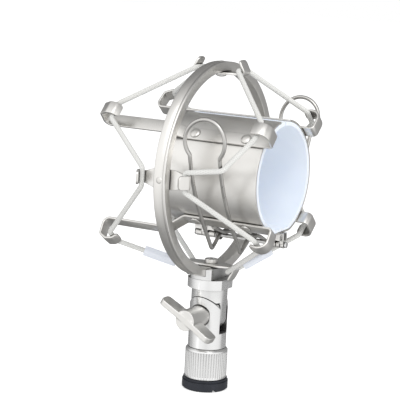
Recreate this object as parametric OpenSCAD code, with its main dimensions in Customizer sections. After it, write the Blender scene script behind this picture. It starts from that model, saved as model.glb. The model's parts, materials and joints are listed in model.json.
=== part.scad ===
// Elastic suspension mount ("spider" shock mount) for a large side-address microphone.
// Frame: origin at the centre of the stand socket's bottom face, +Z up the stand axis,
// the sleeve axis runs along Y with its mouth at -Y, the tilt pivot runs along X.

/* [Stand fitting] */
// Radius of the plastic thread adapter's flange
adapter_r = 10.9; // [10.4:0.1:11.5]
// Height of the thread adapter's flange
adapter_h = 5.3; // [4.5:0.1:6]
// Radius of the adapter's bore, the crests of its 3/8 inch thread
socket_r = 4.1; // [3.97:0.01:4.3]
// Radius over the flutes of the knurled nut
nut_r = 10; // [9.6:0.1:10.4]
// Height of the knurled nut
nut_h = 14.8; // [14:0.1:16]
// Number of flutes round the knurled nut
nut_flutes = 48; // [36:1:60]

/* [Swivel] */
// Radius of the swivel base barrel
barrel_r = 9; // [8.8:0.1:9.4]
// Height of the tilt pivot above the bottom face
pivot_z = 36.2; // [35.6:0.1:37]
// Width of the slot between the two cheeks
slot_w = 7; // [6.5:0.1:7.5]
// Radius of the collar that carries the ring
collar_r = 10.6; // [10.2:0.1:11]
// Height of the collar's underside
collar_z = 49; // [48.6:0.1:49.6]
// Length of the wing screw from tip to tip
wing_span = 31; // [24:0.5:34]
// Angle of the wings above the horizontal
wing_angle = 30; // [0:1:80]

/* [Ring] */
// Outer diameter of the ring
ring_d = 100.4; // [100:0.2:101]
// Radial thickness of the ring
ring_t = 4.4; // [4:0.1:4.8]
// Width of the ring along its axis
ring_w = 6; // [5.6:0.1:6.2]
// Distance from the ring's middle plane to the bend of each ring hook
ring_hook_y = 14; // [13:0.1:15]

/* [Sleeve] */
// Outer radius of the two sleeve shells
shell_r = 26.7; // [26.4:0.1:27]
// Sheet thickness of the shells
shell_t = 0.9; // [0.7:0.1:1]
// Thickness of the soft liner
liner_t = 2; // [1.5:0.1:2.4]
// Distance from the ring's middle plane to the sleeve's mouth
mouth_y = 35.4; // [35:0.1:36]
// Distance from the ring's middle plane to the sleeve's rear edge
rear_y = 13; // [12.6:0.1:13.4]
// Angle of the upper arms above the horizontal
upper_angle = 44.5; // [42:0.5:47]
// Angle of the lower arms below the horizontal
lower_angle = 50.5; // [46:0.5:52]
// How far the hanging sleeve has turned about its own axis in its cords
sleeve_roll = 2.8; // [0:0.1:3]

/* [Sheet and wire] */
// Sheet thickness of the hooks and arms
sheet_t = 1.1; // [1:0.1:1.2]
// Width of the hooks and arms
strip_w = 6.3; // [6:0.1:6.6]
// Width of a ring bracket where it sits in the ring
plate_w = 9; // [8:0.5:9.5]
// Radius of the handle wire
wire_r = 0.9; // [0.8:0.05:1]
// Radius of the elastic cord
cord_r = 1.2; // [1.1:0.05:1.22]

/* [Hidden] */
$fn = 96;
gap = 0.05;
eps = 0.01;

// Stand fitting
thread_r = 7.94;
nut_top = adapter_h + nut_h;
spigot_r = 7;
lip_h = 3.2;
base_z = nut_top + 0.2;
snap_z = nut_top - lip_h - 1.4;
snap_h = 1;
snap_depth = 0.7;
slot_turn = 55;

// Swivel
cheek_r = barrel_r - 0.1;
slot_floor = pivot_z - 8.6;
washer_t = 0.5;
tongue_w = slot_w - 2 * washer_t - 4 * gap;
neck_r = 8.5;
shoulder_r = cheek_r + 0.25;
shoulder_drop = 2.85;
shoulder_z = pivot_z + shoulder_r - shoulder_drop;
collar_h = 4.6;
collar_flat = 9.4;
collar_top = collar_z + collar_h;
wall_in = ring_w / 2 + gap;
wall_out = 5.5;
screw_r = 3;
boss_r = 4.9;
boss_clear = 0.6;
wing_out = 22;
wing_depth = 6.5;
wing_t = 2.8;
recess_d = 1.5;

// Ring
ring_r = ring_d / 2;
ring_in = ring_r - ring_t;
centre_z = collar_top + 0.9 + ring_r;
plate_out = sqrt(pow(ring_in, 2) - pow(plate_w / 2, 2)) - 0.02;
plate_mid = plate_out - sheet_t / 2;
rivet_r = 1.5;
rivet_head_r = 2.6;
screw_hole_r = 2;

// Sleeve and hinge
hinge_z = centre_z - 30.9;
pin_r = 1;
knuckle_r = 1.7;
front_knuckle_w = 2.1;
front_slot = 0.35;
rear_knuckle_w = 3.5;
rear_slot = 0.1;
flange_x = 0.8;
flange_t = 1.2;
front_hinge_y = -34.2;
rear_hinge_y = 4.2;
shell_top_a = 99;
liner_top_a = 91;
floor_half = 7.7;
floor_a = asin(floor_half / (shell_r - shell_t));
floor_z = -24.8;
floor_gap = 0.1;
floor_liner_t = 1;
arm_mid = shell_r + 0.02 + sheet_t / 2;
upper_lift = 3;
lower_lift = 7;

// Places along an arm, [distance along Y, distance from the sleeve axis, bend radius]
front_bend = [-40.2, arm_mid, 1.7];
front_top = [-40.7, arm_mid + 11.2, 4.2];
front_tip = [-32.2, arm_mid + 9.3, 0];
function rear_places(lift) = [[5, arm_mid, 3],
                              [12.5, arm_mid + lift, 3],
                              [45.9, arm_mid + lift, 2.9],
                              [44.8, arm_mid + lift + 8.5, 1],
                              [41, arm_mid + lift + 10.4, 1.5],
                              [37.9, arm_mid + lift + 9.9, 1.5],
                              [35.7, arm_mid + lift + 7.4, 0]];

// Where the cord runs through each kind of hook, [distance along Y, distance from the axis]
ring_seat = [ring_hook_y - 3, plate_out + gap + cord_r];
front_seat = [-35, arm_mid + 7.9];
function rear_seat(lift) = [38.7, arm_mid + lift + 8];
seat_side = strip_w / 2 + 1.1;
ring_lean = 28;
ring_flange = 7.2;

// Rivets of the arms
arm_rivet_y = [0, -26.2];
arm_rivet_r = 1.28;
arm_head_r = 2.4;

// Spring on the hinge
spring_r = 2;
spring_wire = 0.4;
spring_turns = 2.5;
spring_pitch = 0.8;
spring_y = -1.5;

// Handles
handle_y = -15.5;
handle_lean = 0.075;
leg_half = 7.5;
loop_r = 10;
loop_h = 51.7;
foot_shift = 1;
foot_y = 2;

// Tags on the cords
tag_half = 2.5;
tag_t = 0.4;

nickel = [0.78, 0.77, 0.74];
bright = [0.88, 0.88, 0.86];
liner_blue = [0.86, 0.91, 1];
cord_white = [0.93, 0.93, 0.9];
plastic_black = [0.08, 0.08, 0.09];

// ---- helpers: flat strips bent along a filleted path ----

function unit(v) = v / norm(v);
function left(v) = [-v[1], v[0]];

// Samples round one bend, each [point, normal].
function bend(a, b, c, r) =
    let (d1 = unit(b - a), d2 = unit(c - b))
    let (turn = atan2(d1[0] * d2[1] - d1[1] * d2[0], d1 * d2), side = sign(turn))
    let (start = b - d1 * (r * tan(abs(turn) / 2)), mid = start + left(d1) * r * side)
    let (steps = max(3, ceil(abs(turn) / 9)))
    [for (i = [0:steps])
        let (t = turn * i / steps)
        let (n = [left(d1)[0] * cos(t) - left(d1)[1] * sin(t),
                  left(d1)[0] * sin(t) + left(d1)[1] * cos(t)])
        [mid - n * r * side, n]];

function xy(p) = [p[0], p[1]];

// The whole path: its two ends and every bend between them.
function strip_path(pts) = concat(
    [[xy(pts[0]), left(unit(xy(pts[1]) - xy(pts[0])))]],
    [for (i = [1:len(pts) - 2])
        each bend(xy(pts[i - 1]), xy(pts[i]), xy(pts[i + 1]), pts[i][2])],
    [[xy(pts[len(pts) - 1]),
      left(unit(xy(pts[len(pts) - 1]) - xy(pts[len(pts) - 2])))]]);

module bent_profile(pts, t) {
    path = strip_path(pts);
    polygon(concat([for (s = path) s[0] + s[1] * t / 2],
                   [for (i = [len(path) - 1:-1:0]) path[i][0] - path[i][1] * t / 2]));
}

// Turns what is fixed to the sleeve about the sleeve axis, as it hangs in its cords.
module hung() {
    translate([0, 0, centre_z])
        rotate([0, -sleeve_roll, 0])
            translate([0, 0, -centre_z])
                children();
}
function hung_point(p) = let (c = cos(sleeve_roll), s = sin(sleeve_roll), z = p[2] - centre_z)
    [p[0] * c - z * s, p[1], centre_z + z * c + p[0] * s];

// Stands a shape drawn as [along Y, distance from axis] at an angle round the sleeve axis.
module round_axis(angle) {
    translate([0, 0, centre_z])
        rotate([0, 90 - angle, 0])
            rotate([90, 0, 90])
                children();
}

// A pin along the radial direction at an angle round the sleeve axis.
module radial_pin(angle, y, r, from, to) {
    translate([0, y, centre_z])
        rotate([0, 90 - angle, 0])
            translate([0, 0, from])
                cylinder(r = r, h = to - from);
}

// A cylinder along X.
module x_pin(r, from, to, y = 0, z = 0) {
    translate([from, y, z])
        rotate([0, 90, 0])
            cylinder(r = r, h = to - from);
}

// A cylinder along Y.
module y_pin(r, from, to, x = 0, z = 0) {
    translate([x, from, z])
        rotate([-90, 0, 0])
            cylinder(r = r, h = to - from);
}

// ---- helpers: round tubes swept along a path ----

function carried(pts, n, i) =
    let (t = tangent(pts, i), flat = n - t * (n * t))
    unit(flat);
function tangent(pts, i) = unit(pts[min(i + 1, len(pts) - 1)] - pts[max(i - 1, 0)]);
function frames(pts, n, i = 0) =
    i >= len(pts) ? [] : let (m = carried(pts, n, i)) concat([m], frames(pts, m, i + 1));

module tube(pts, r, ref, sides = 10) {
    f = frames(pts, ref);
    last = len(pts) - 1;
    points = [for (i = [0:last], k = [0:sides - 1])
        let (b = cross(tangent(pts, i), f[i]), a = 360 * k / sides)
        pts[i] + (f[i] * cos(a) + b * sin(a)) * r];
    walls = [for (i = [0:last - 1], k = [0:sides - 1])
        [i * sides + k, (i + 1) * sides + k,
         (i + 1) * sides + (k + 1) % sides, i * sides + (k + 1) % sides]];
    start_cap = [[for (k = [0:sides - 1]) k]];
    end_cap = [[for (k = [sides - 1:-1:0]) last * sides + k]];
    polyhedron(points, concat(walls, start_cap, end_cap), convexity = 8);
}

// A closed tube; its cross-sections are squared up to the direction away from the sleeve axis.
module loop_tube(pts, r, sides = 10) {
    n = len(pts);
    points = [for (i = [0:n - 1], k = [0:sides - 1])
        let (t = unit(pts[(i + 1) % n] - pts[(i + n - 1) % n]))
        let (out = [pts[i][0], 0, pts[i][2] - centre_z])
        let (u = unit(out - t * (out * t)), v = cross(t, u), a = 360 * k / sides)
        pts[i] + (u * cos(a) + v * sin(a)) * r];
    walls = [for (i = [0:n - 1], k = [0:sides - 1])
        [i * sides + k, ((i + 1) % n) * sides + k,
         ((i + 1) % n) * sides + (k + 1) % sides, i * sides + (k + 1) % sides]];
    polyhedron(points, walls, convexity = 12);
}

// Rounds the corners of a 3-D path: each inner point becomes a short curve.
function soften(pts, cut, steps, closed = false) =
    let (n = len(pts))
    [for (i = [0:n - 1])
        let (a = pts[(i + n - 1) % n], b = pts[i], c = pts[(i + 1) % n])
        each (!closed && (i == 0 || i == n - 1)) ? [b] :
            let (p = b + unit(a - b) * min(cut, norm(a - b) * 0.45))
            let (q = b + unit(c - b) * min(cut, norm(c - b) * 0.45))
            [for (k = [0:steps]) let (s = k / steps)
                p * pow(1 - s, 2) + b * 2 * s * (1 - s) + q * pow(s, 2)]];

// ---- stand fitting ----

module thread_adapter() {
    color(plastic_black)
    difference() {
        union() {
            cylinder(r1 = adapter_r - 0.6, r2 = adapter_r, h = 0.6);
            translate([0, 0, 0.6])
                cylinder(r = adapter_r, h = adapter_h - 1.8);
            translate([0, 0, adapter_h - 1.2 - eps])
                cylinder(r = adapter_r - 0.5, h = 1.2);
            cylinder(r = thread_r - gap, h = adapter_h + 8);
        }
        translate([0, 0, -1])
            cylinder(r = socket_r, h = 20);
        // screwdriver slot across the lower face
        rotate([0, 0, slot_turn])
            translate([-12, -0.9, -1])
                cube([24, 1.8, 2.1]);
    }
}

function flute_r(i) = nut_r - ((i % 4) > 1 ? 0.3 : 0);

module knurled_nut() {
    color(bright)
    difference() {
        intersection() {
            translate([0, 0, adapter_h])
                linear_extrude(nut_h)
                    polygon([for (i = [0:nut_flutes * 4 - 1])
                        let (a = 90 * (i + 0.5) / nut_flutes)
                        flute_r(i) * [cos(a), sin(a)]]);
            union() {
                translate([0, 0, adapter_h])
                    cylinder(r = nut_r + 1, h = nut_h - 1.1);
                translate([0, 0, nut_top - 1.1 - eps])
                    cylinder(r1 = nut_r + 0.1, r2 = nut_r - 0.9, h = 1.1 + eps);
            }
        }
        translate([0, 0, adapter_h - 1])
            cylinder(r = thread_r, h = nut_h - lip_h + 1);
        translate([0, 0, adapter_h])
            cylinder(r = spigot_r + gap, h = nut_h + 1);
    }
}

module nut_retaining_ring() {
    color("dimgray")
    translate([0, 0, snap_z + 0.02])
        difference() {
            cylinder(r = thread_r - 0.15, h = snap_h);
            translate([0, 0, -1])
                cylinder(r = spigot_r - snap_depth, h = 3);
            // open gap of the snap ring
            translate([0, -1.5, -1])
                cube([10, 3, 3]);
        }
}

// ---- swivel ----

module cheek_outline() {
    translate([-20, 0, 0])
        rotate([90, 0, 90])
            linear_extrude(40)
                union() {
                    translate([0, pivot_z])
                        circle(r = cheek_r);
                    translate([-cheek_r, base_z])
                        square([2 * cheek_r, pivot_z - base_z]);
                }
}

module swivel_base() {
    color(bright)
    difference() {
        union() {
            intersection() {
                translate([0, 0, base_z])
                    cylinder(r = barrel_r, h = 30);
                cheek_outline();
            }
            translate([0, 0, snap_z - 1.2])
                cylinder(r = spigot_r, h = base_z - snap_z + 1.2 + eps);
        }
        // groove for the snap ring
        translate([0, 0, snap_z])
            difference() {
                cylinder(r = spigot_r + 1, h = snap_h + 0.04);
                cylinder(r = spigot_r - snap_depth - 0.02, h = snap_h + 0.04);
            }
        // slot for the tongue
        translate([-slot_w / 2, -12, slot_floor])
            cube([slot_w, 24, 30]);
        // hollow spigot
        translate([0, 0, 5])
            cylinder(r = 4.2, h = base_z - 5 + 1.5);
        // near cheek: clear hole and recess, far cheek: thread
        x_pin(screw_r + 0.1, -12, 0, 0, pivot_z);
        x_pin(screw_r + 0.02, 0, 12, 0, pivot_z);
        x_pin(boss_r + boss_clear, -12, -barrel_r + recess_d, 0, pivot_z);
    }
}

module swivel_washers() {
    color("gray")
    for (side = [-1, 1])
        translate([side * (slot_w / 2 - gap - washer_t / 2), 0, 0])
            difference() {
                x_pin(5.6, -washer_t / 2, washer_t / 2, 0, pivot_z);
                x_pin(screw_r + 0.15, -1, 1, 0, pivot_z);
            }
}

module tongue_outline() {
    translate([-tongue_w / 2, 0, 0])
        rotate([90, 0, 90])
            linear_extrude(tongue_w)
                union() {
                    translate([0, pivot_z])
                        circle(r = neck_r - 0.2);
                    translate([-neck_r + 0.2, pivot_z])
                        square([2 * neck_r - 0.4, collar_z - pivot_z]);
                }
}

module swivel_head() {
    color(bright)
    difference() {
        union() {
            intersection() {
                tongue_outline();
                cylinder(r = neck_r, h = 80);
            }
            // shoulder, hollowed to clear the round tops of the cheeks; it stops the tilt
            difference() {
                translate([0, 0, shoulder_z])
                    cylinder(r = neck_r, h = collar_z - shoulder_z + 1);
                x_pin(shoulder_r, -20, 20, 0, pivot_z);
            }
            // collar with two flats
            intersection() {
                translate([0, 0, collar_z])
                    cylinder(r = collar_r, h = collar_h);
                translate([-20, -collar_flat, collar_z - 1])
                    cube([40, 2 * collar_flat, collar_h + 2]);
            }
            // channel walls either side of the ring
            intersection() {
                translate([0, 0, collar_top - 1])
                    cylinder(r = collar_r - 0.2, h = 20);
                translate([-20, -wall_out, collar_top - 1])
                    cube([40, 2 * wall_out, 6.2]);
            }
        }
        // seat of the ring
        y_pin(ring_r + 0.02, -wall_in, wall_in, 0, centre_z);
        x_pin(screw_r + 0.1, -20, 20, 0, pivot_z);
        translate([0, 0, collar_z - 2])
            cylinder(r = screw_hole_r, h = 20);
    }
}

module wing_blade(side) {
    rotate([side * 90 + wing_angle, 0, 0])
        translate([0, 0, -wing_t / 2])
            linear_extrude(wing_t)
                hull() {
                    translate([-wing_out + 2.2, 0])
                        circle(r = 2.2, $fn = 32);
                    translate([-wing_out + wing_depth, 0])
                        circle(r = 1.6, $fn = 32);
                    translate([-wing_out + 1.6, wing_span / 2 - 2.4])
                        circle(r = 2.4, $fn = 32);
                    translate([-wing_out + 4.4, wing_span / 2 - 2])
                        circle(r = 2, $fn = 32);
                }
}

module wing_screw() {
    color(nickel)
    translate([0, 0, pivot_z])
        union() {
            x_pin(boss_r, -wing_out, -barrel_r + recess_d - gap);
            x_pin(screw_r, -9, barrel_r - 0.6);
            wing_blade(0);
            wing_blade(2);
        }
}

// ---- ring ----

module outer_ring() {
    color(nickel)
    difference() {
        translate([0, 0, centre_z])
            rotate([90, 0, 0])
                rotate_extrude($fn = 180)
                    polygon([[ring_in + 0.3, -ring_w / 2],
                             [ring_r - 0.6, -ring_w / 2],
                             [ring_r, -ring_w / 2 + 0.6],
                             [ring_r, ring_w / 2 - 0.6],
                             [ring_r - 0.6, ring_w / 2],
                             [ring_in + 0.3, ring_w / 2],
                             [ring_in, ring_w / 2 - 0.3],
                             [ring_in, -ring_w / 2 + 0.3]]);
        for (a = [0, 90, 180])
            radial_pin(a, 0, rivet_r + 0.02, ring_in - 3, ring_r + 3);
        radial_pin(270, 0, screw_hole_r + 0.1, ring_in - 3, ring_r + 3);
    }
}

module ring_screw() {
    color(nickel)
    difference() {
        union() {
            radial_pin(270, 0, screw_hole_r - 0.02, plate_mid, centre_z - collar_z);
            radial_pin(270, 0, 3, plate_mid - sheet_t / 2 - 2, plate_mid - sheet_t / 2 - 0.01);
        }
        for (a = [0, 90])
            translate([0, 0, centre_z - plate_mid + sheet_t / 2 + 2])
                rotate([0, 0, a])
                    cube([3.6, 0.7, 1.8], center = true);
    }
}

module ring_rivets() {
    color(nickel)
    for (a = [0, 90, 180])
        union() {
            radial_pin(a, 0, rivet_r, plate_mid - 1, ring_r + 0.3);
            radial_pin(a, 0, rivet_head_r, plate_mid - sheet_t / 2 - 1.4,
                       plate_mid - sheet_t / 2 - 0.01);
        }
}

function ring_tip(s) = [s * (ring_hook_y - ring_flange * sin(ring_lean)),
                        plate_mid + ring_flange * cos(ring_lean), 0];

module ring_bracket(angle, hole) {
    color(nickel)
    round_axis(angle)
        difference() {
            intersection() {
                linear_extrude(plate_w, center = true)
                    bent_profile([ring_tip(-1), [-ring_hook_y, plate_mid, 1.4],
                                  [ring_hook_y, plate_mid, 1.4], ring_tip(1)], sheet_t);
                // plan of the blank: wide in the ring, narrower at the hooks
                rotate([90, 0, 0])
                    linear_extrude(200, center = true)
                        union() {
                            square([40, strip_w], center = true);
                            polygon([[-12, -strip_w / 2], [-5, -plate_w / 2], [5, -plate_w / 2],
                                     [12, -strip_w / 2], [12, strip_w / 2], [5, plate_w / 2],
                                     [-5, plate_w / 2], [-12, strip_w / 2]]);
                        }
            }
            rotate([-90, 0, 0])
                cylinder(r = hole, h = 100);
        }
}

module bracket_top() { ring_bracket(90, rivet_r + 0.02); }
module bracket_left() { ring_bracket(180, rivet_r + 0.02); }
module bracket_right() { ring_bracket(0, rivet_r + 0.02); }
module bracket_bottom() { ring_bracket(270, screw_hole_r + 0.1); }

// ---- sleeve: two half shells on a hinge ----

// side is -1 for the left half and 1 for the right half; angles are for the left half.
module half_tube(side, r_in, r_out, from_a, to_a, y0, y1) {
    mirror([side > 0 ? 1 : 0, 0, 0])
        translate([0, y1, centre_z])
            rotate([90, 0, 0])
                rotate([0, 0, from_a])
                    rotate_extrude(angle = to_a - from_a)
                        translate([r_in, 0])
                            square([r_out - r_in, y1 - y0]);
}

// The flat floor of one half over the hinge, with its underside at z - t.
module flat_floor(side, z, t, wider = 0) {
    translate([side > 0 ? floor_gap : -floor_half - wider, -mouth_y, centre_z + z - t])
        cube([floor_half + wider - floor_gap, mouth_y + rear_y, t]);
}

// Knuckles of one half at one end of the hinge; which is how many this half has.
module knuckles(side, middle_y, w, slot, which) {
    plate_x = side > 0 ? flange_x : -flange_x - flange_t;
    plate_z = hinge_z + knuckle_r + 0.2;
    difference() {
        union() {
            translate([plate_x, middle_y - 1.5 * w, plate_z])
                cube([flange_t, 3 * w, centre_z + floor_z - shell_t / 2 - plate_z]);
            for (k = which == 1 ? [0] : [-1, 1]) {
                y_pin(knuckle_r, middle_y + (k - 0.5) * w + slot / 2,
                      middle_y + (k + 0.5) * w - slot / 2, 0, hinge_z);
                translate([plate_x, middle_y + (k - 0.5) * w + slot / 2, hinge_z])
                    cube([flange_t, w - slot, knuckle_r + 0.5]);
            }
        }
        y_pin(pin_r + gap, middle_y - 9, middle_y + 9, 0, hinge_z);
    }
}

module shell(side) {
    color(nickel)
    hung()
        difference() {
            union() {
                half_tube(side, shell_r - shell_t, shell_r, shell_top_a, 270.8 - floor_a,
                          -mouth_y, rear_y);
                flat_floor(side, floor_z, shell_t);
                knuckles(side, front_hinge_y, front_knuckle_w, front_slot, side < 0 ? 2 : 1);
                knuckles(side, rear_hinge_y, rear_knuckle_w, rear_slot, side < 0 ? 1 : 2);
            }
            for (a = [180 - upper_angle, 180 + lower_angle], y = arm_rivet_y)
                radial_pin(side < 0 ? a : 180 - a, y, arm_rivet_r + 0.02, 20, 40);
        }
}

module shell_left() { shell(-1); }
module shell_right() { shell(1); }

module liner(side) {
    color(liner_blue)
    hung()
        union() {
            half_tube(side, shell_r - shell_t - liner_t, shell_r - shell_t - 0.02,
                      liner_top_a, 269.4 - floor_a, -mouth_y, rear_y);
            intersection() {
                flat_floor(side, floor_z + floor_liner_t, floor_liner_t - 0.02, 1);
                translate([0, 0, centre_z])
                    rotate([90, 0, 0])
                        cylinder(r = shell_r - shell_t - 0.02, h = 200, center = true);
            }
        }
}

module liner_left() { liner(-1); }
module liner_right() { liner(1); }

module arm(angle, lift) {
    color(nickel)
    hung()
    round_axis(angle)
        difference() {
            linear_extrude(strip_w, center = true)
                bent_profile(concat([front_tip, front_top, front_bend], rear_places(lift)),
                             sheet_t);
            for (y = arm_rivet_y)
                translate([y, 0, 0])
                    rotate([-90, 0, 0])
                        cylinder(r = arm_rivet_r + 0.02, h = arm_mid + 3);
        }
}

module arm_upper_left() { arm(180 - upper_angle, upper_lift); }
module arm_lower_left() { arm(180 + lower_angle, lower_lift); }
module arm_upper_right() { arm(upper_angle, upper_lift); }
module arm_lower_right() { arm(-lower_angle, lower_lift); }

module arm_rivets(side) {
    color(nickel)
    hung()
    for (a = [180 - upper_angle, 180 + lower_angle], y = arm_rivet_y)
        union() {
            radial_pin(side < 0 ? a : 180 - a, y, arm_rivet_r, shell_r - shell_t + 0.01,
                       arm_mid + 0.8);
            radial_pin(side < 0 ? a : 180 - a, y, arm_head_r, arm_mid + sheet_t / 2 + 0.01,
                       arm_mid + sheet_t / 2 + 1.1);
        }
}

module arm_rivets_left() { arm_rivets(-1); }
module arm_rivets_right() { arm_rivets(1); }

module hinge_pin() {
    color(bright)
    hung()
        union() {
            y_pin(pin_r, -37.9, 9.9, 0, hinge_z);
            y_pin(1.45, -38.3, -37.6, 0, hinge_z);
            y_pin(1.45, 9.6, 10.3, 0, hinge_z);
        }
}

function spring_coil() = [for (i = [0:spring_turns * 24])
    let (a = 90 - i * 15)
    [spring_r * cos(a), spring_y - spring_pitch * i / 24, hinge_z + spring_r * sin(a)]];

module torsion_spring() {
    color("dimgray")
    hung()
        tube(spring_coil(), spring_wire, [0, 1, 0], 8);
}

// ---- wire handles: each is fixed to the shell on the other side of the hinge ----

// Distance of the handle from the sleeve's middle plane at height h above the hinge
function handle_x(h) = 14 + 31.5 * sin(min(90, 1.45 * (h + 3.4)));
function handle_at(h, off) = [-handle_x(h), handle_y - handle_lean * (h + 3) + off,
                              hinge_z + h];

function leg(s, shift) = [for (h = [0:7:42]) handle_at(h, s * leg_half + shift * (1 - h / 42))];
function eye() = [for (a = [-42:12:222])
    handle_at(loop_h + loop_r * sin(a), loop_r * cos(a))];
// Height at which a wire touches the underside of the shell
function under_shell(x) = centre_z - sqrt(pow(shell_r + wire_r + 0.12, 2) - x * x);
// From the weld under the far shell, over the pin, to the foot of the leg
function foot(s, shift) =
    let (y = handle_y + s * leg_half + foot_y + shift)
    [for (x = [13:-2.5:8]) [x, y, under_shell(x)],
     [3, y, hinge_z + pin_r + wire_r + 0.3],
     [-3, y, hinge_z + pin_r + wire_r - 0.1],
     [-11.6, y - foot_y * 0.5, hinge_z - 3.4],
     [-13.8, y - foot_y * 0.8, hinge_z - 3.3]];
function reversed(v) = [for (i = [len(v) - 1:-1:0]) v[i]];
function handle_path(shift) = soften(concat(foot(1, shift), leg(1, shift), eye(),
    reversed(leg(-1, shift)), reversed(foot(-1, shift))), 2.5, 3);

module handle_left() {
    color(nickel)
    hung()
        tube(handle_path(foot_shift), wire_r, [0, 1, 0.2]);
}

module handle_right() {
    color(nickel)
    hung()
        mirror([1, 0, 0])
            tube(handle_path(-foot_shift), wire_r, [0, 1, 0.2]);
}

// ---- elastic cords ----

// A point round the sleeve axis: angle, distance sideways, [along Y, distance from the axis]
function seat(angle, side, s) = [s[1] * cos(angle) - side * sin(angle), s[0],
                                 centre_z + s[1] * sin(angle) + side * cos(angle)];
// Where a front cord is held off by the front leg of the left handle
over_leg = handle_at(40.5, -leg_half) + (wire_r + cord_r + 0.4) * unit([-0.66, -0.7, -0.28]);
function hook_points(angle, s) = [seat(angle, -seat_side, s), seat(angle, seat_side, s)];
function arm_hook(angle, s) = [for (p = hook_points(angle, s)) hung_point(p)];
function flip(s) = [-s[0], s[1]];

module cord_front() {
    color(cord_white)
    loop_tube(soften(concat(
        hook_points(90, flip(ring_seat)), arm_hook(180 - upper_angle, front_seat),
        [hung_point(over_leg)],
        hook_points(180, flip(ring_seat)), arm_hook(180 + lower_angle, front_seat),
        hook_points(270, flip(ring_seat)), arm_hook(-lower_angle, front_seat),
        hook_points(0, flip(ring_seat)), arm_hook(upper_angle, front_seat)),
        1.2, 3, true), cord_r);
}

module cord_rear() {
    color(cord_white)
    loop_tube(soften(concat(
        hook_points(90, ring_seat), arm_hook(180 - upper_angle, rear_seat(upper_lift)),
        hook_points(180, ring_seat), arm_hook(180 + lower_angle, rear_seat(lower_lift)),
        hook_points(270, ring_seat), arm_hook(-lower_angle, rear_seat(lower_lift)),
        hook_points(0, ring_seat), arm_hook(upper_angle, rear_seat(upper_lift))),
        1.2, 3, true), cord_r);
}

// A tag folded round a straight run of cord from p to q, standing above and below the cord
module tag(p, q, from, to) {
    d = unit(q - p);
    side = unit(cross(d, [0, 0, 1]));
    up = cross(side, d);
    multmatrix([[side[0], up[0], d[0], p[0]], [side[1], up[1], d[1], p[1]],
                [side[2], up[2], d[2], p[2]], [0, 0, 0, 1]])
        translate([0, 0, from])
            difference() {
                union() {
                    cylinder(r = cord_r + 0.3, h = to - from);
                    translate([-tag_t / 2, -tag_half, 0])
                        cube([tag_t, 2 * tag_half, to - from]);
                }
                translate([0, 0, -1])
                    cylinder(r = cord_r + 0.05, h = to - from + 2);
            }
}

module cord_tag_front() {
    color("white")
    tag(seat(270, seat_side, flip(ring_seat)),
        hung_point(seat(-lower_angle, -seat_side, front_seat)), 4, 19);
}

module cord_tag_rear() {
    color("white")
    tag(seat(270, -seat_side, ring_seat),
        hung_point(seat(180 + lower_angle, seat_side, rear_seat(lower_lift))), 5, 21);
}

thread_adapter();
knurled_nut();
nut_retaining_ring();
swivel_base();
swivel_head();
swivel_washers();
wing_screw();
outer_ring();
ring_screw();
ring_rivets();
bracket_top();
bracket_left();
bracket_right();
bracket_bottom();
shell_left();
shell_right();
liner_left();
liner_right();
arm_upper_left();
arm_lower_left();
arm_upper_right();
arm_lower_right();
arm_rivets_left();
arm_rivets_right();
hinge_pin();
torsion_spring();
handle_left();
handle_right();
cord_front();
cord_rear();
cord_tag_front();
cord_tag_rear();
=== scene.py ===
"""Visual model of an elastic microphone shock mount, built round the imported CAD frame.

Points are worked out in millimetres and turned into metres when a mesh is made.
"""

import json
import math

import bmesh
import bpy
from mathutils import Matrix, Vector

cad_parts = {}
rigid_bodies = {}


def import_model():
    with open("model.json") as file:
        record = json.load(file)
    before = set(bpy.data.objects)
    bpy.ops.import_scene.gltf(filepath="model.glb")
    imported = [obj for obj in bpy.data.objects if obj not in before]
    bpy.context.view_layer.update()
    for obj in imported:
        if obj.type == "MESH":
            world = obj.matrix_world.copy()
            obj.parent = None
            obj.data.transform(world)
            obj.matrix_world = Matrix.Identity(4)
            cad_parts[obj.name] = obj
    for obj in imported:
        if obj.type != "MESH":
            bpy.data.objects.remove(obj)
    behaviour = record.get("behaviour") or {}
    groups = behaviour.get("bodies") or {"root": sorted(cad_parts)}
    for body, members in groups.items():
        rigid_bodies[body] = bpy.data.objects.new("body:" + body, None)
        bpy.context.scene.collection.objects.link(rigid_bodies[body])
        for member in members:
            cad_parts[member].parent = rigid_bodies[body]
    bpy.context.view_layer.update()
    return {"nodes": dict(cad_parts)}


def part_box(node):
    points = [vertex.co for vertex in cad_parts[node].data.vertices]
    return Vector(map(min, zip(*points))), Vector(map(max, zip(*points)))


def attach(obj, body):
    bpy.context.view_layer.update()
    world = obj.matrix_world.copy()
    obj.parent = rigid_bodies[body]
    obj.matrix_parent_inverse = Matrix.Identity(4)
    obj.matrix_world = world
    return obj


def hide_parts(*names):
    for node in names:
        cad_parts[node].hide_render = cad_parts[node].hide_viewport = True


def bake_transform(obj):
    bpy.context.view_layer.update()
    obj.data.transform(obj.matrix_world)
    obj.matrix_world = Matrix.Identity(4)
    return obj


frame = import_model()

MM = 0.001
Y = Vector((0, 1, 0))


def box_mm(node):
    """Lowest and highest corner of a CAD node, in millimetres."""
    return [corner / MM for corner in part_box(node)]


# ---- sizes taken from the CAD frame, in millimetres ----

RING_LO, RING_HI = box_mm("outer_ring")
RING_R = (RING_HI.z - RING_LO.z) / 2
RING_HALF_W = (RING_HI.y - RING_LO.y) / 2
CENTRE_Z = (RING_HI.z + RING_LO.z) / 2
CENTRE = Vector((0, 0, CENTRE_Z))
NUT_LO, NUT_HI = box_mm("knurled_nut")
NUT_R = (NUT_HI.x - NUT_LO.x) / 2
LINER_LO, LINER_HI = box_mm("liner_left")
MOUTH_Y, REAR_Y = LINER_LO.y, LINER_HI.y

# ---- sizes of the design, in millimetres and degrees ----

TOUCH = 0.02  # air left between parts that touch
ROLL = 2.8  # turn of the hanging sleeve about its axis

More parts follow.
